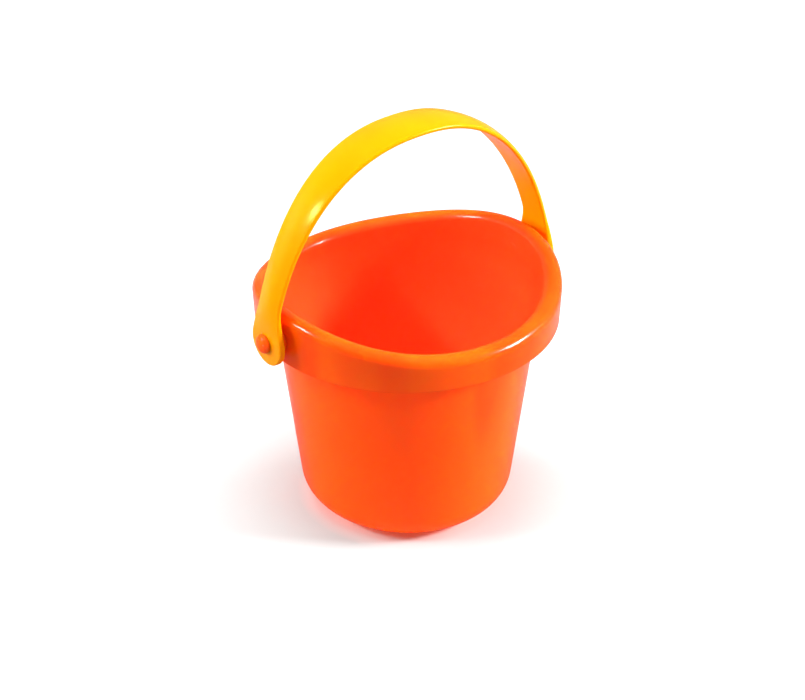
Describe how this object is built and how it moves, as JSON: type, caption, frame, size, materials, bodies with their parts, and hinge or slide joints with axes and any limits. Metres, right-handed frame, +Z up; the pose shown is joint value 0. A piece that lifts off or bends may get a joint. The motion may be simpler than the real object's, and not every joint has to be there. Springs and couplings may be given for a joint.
{
  "type": "sand bucket",
  "caption": "Tapered toy sand bucket with a wavy rolled rim, a hanging skirt and a wide strap handle that swings on two domed pegs.",
  "frame": {"origin": "centre of the base, on the ground", "axes": "+Z up; X is parallel to the hinge line of the handle, so the left peg is at -X; the handle stands upright at rest"},
  "size_m": [0.173, 0.1494, 0.2161],
  "materials": {
    "bucket_plastic": "glossy orange moulded plastic, slightly translucent at the edges",
    "handle_plastic": "glossy yellow moulded plastic",
    "peg_plastic": "glossy orange moulded plastic"
  },
  "bodies": {
    "bucket": {"bucket_shell": "bucket_plastic", "left_pivot_peg": "peg_plastic", "right_pivot_peg": "peg_plastic"},
    "handle": {"handle": "handle_plastic"}
  },
  "joints": [
    {"name": "handle_swing", "type": "hinge", "parent": "bucket", "child": "handle", "pos_m": [0, 0, 0.1203], "axis": [1, 0, 0], "range_deg": [-128, 128]}
  ]
}
